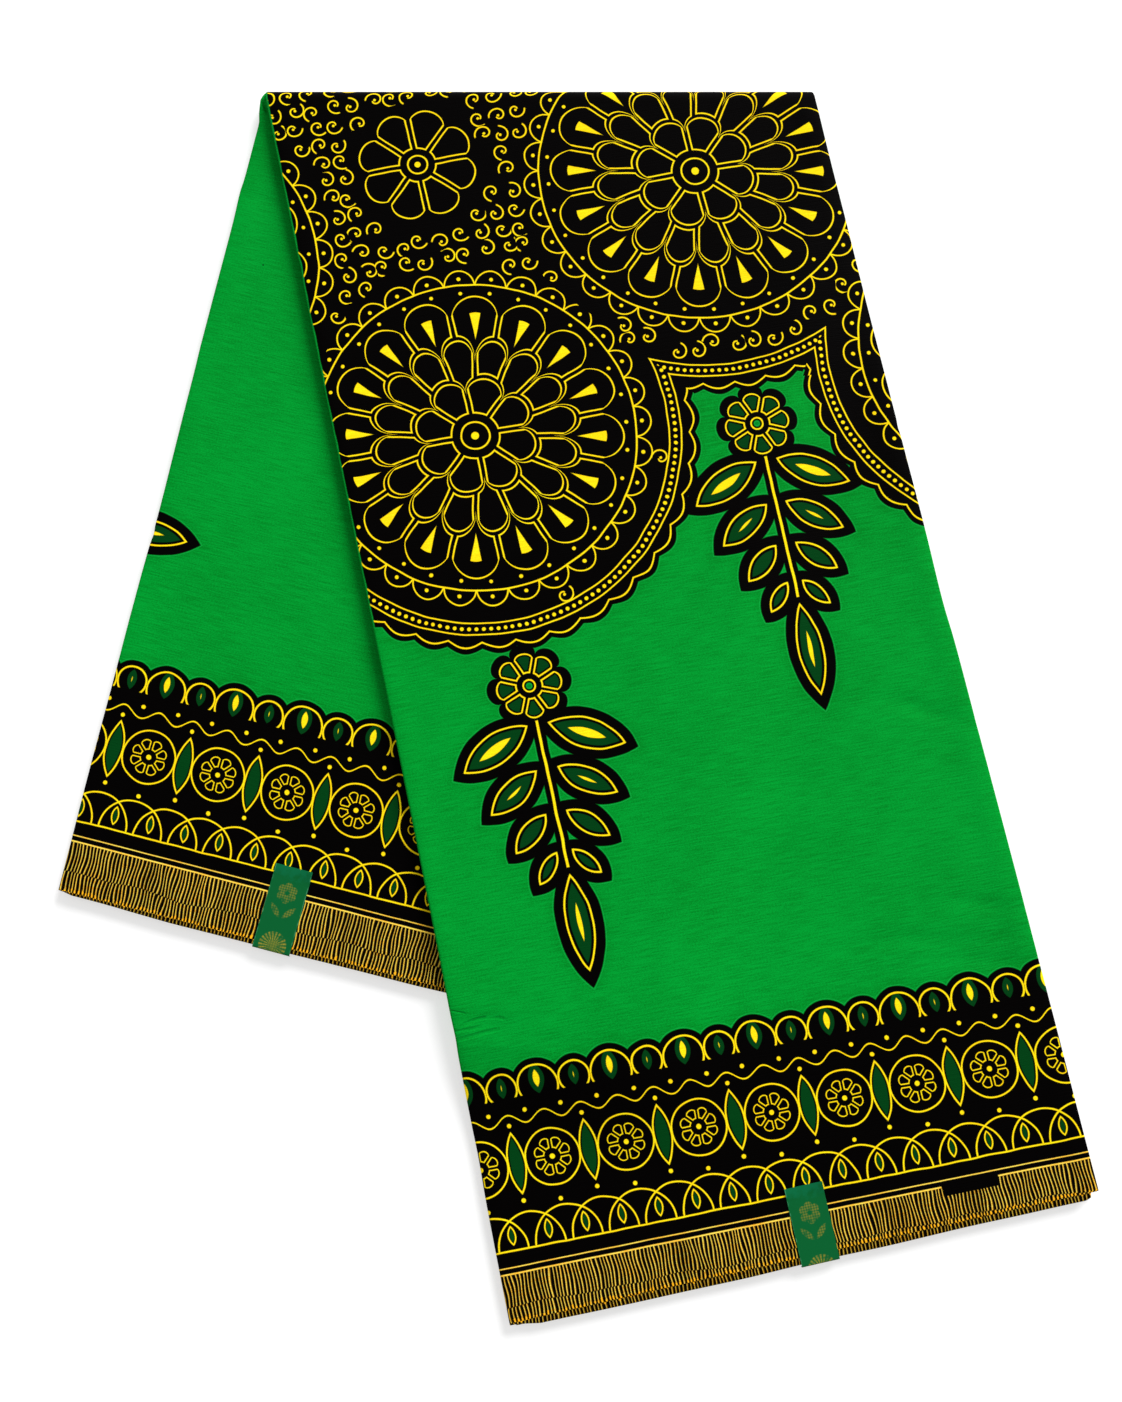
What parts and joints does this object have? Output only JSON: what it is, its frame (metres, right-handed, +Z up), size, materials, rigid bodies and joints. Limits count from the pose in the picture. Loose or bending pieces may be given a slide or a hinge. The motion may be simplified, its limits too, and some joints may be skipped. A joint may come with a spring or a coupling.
{
  "type": "folded wax print fabric",
  "caption": "Cut of wax print cotton folded flat into a many-ply strip and turned over once on a slant, lying flat with its two ends fanned apart and a paper label on each hem.",
  "frame": {"origin": "on the surface the cloth lies on, under the middle of the part's box", "axes": "+Z up from the surface, +Y towards the turned edge, +X to the right as seen with the turned edge at the top"},
  "size_m": [0.5448, 0.6834, 0.0136],
  "materials": {
    "wax_print_cotton": "plain-woven cotton with a crisp, slightly waxed face, printed in green, black and gold",
    "label_paper": "dark green coated paper with faded gold ornament"
  },
  "bodies": {
    "root": {"front_stretch": "wax_print_cotton", "back_stretch": "wax_print_cotton", "front_label": "label_paper", "back_label": "label_paper"}
  },
  "joints": []
}
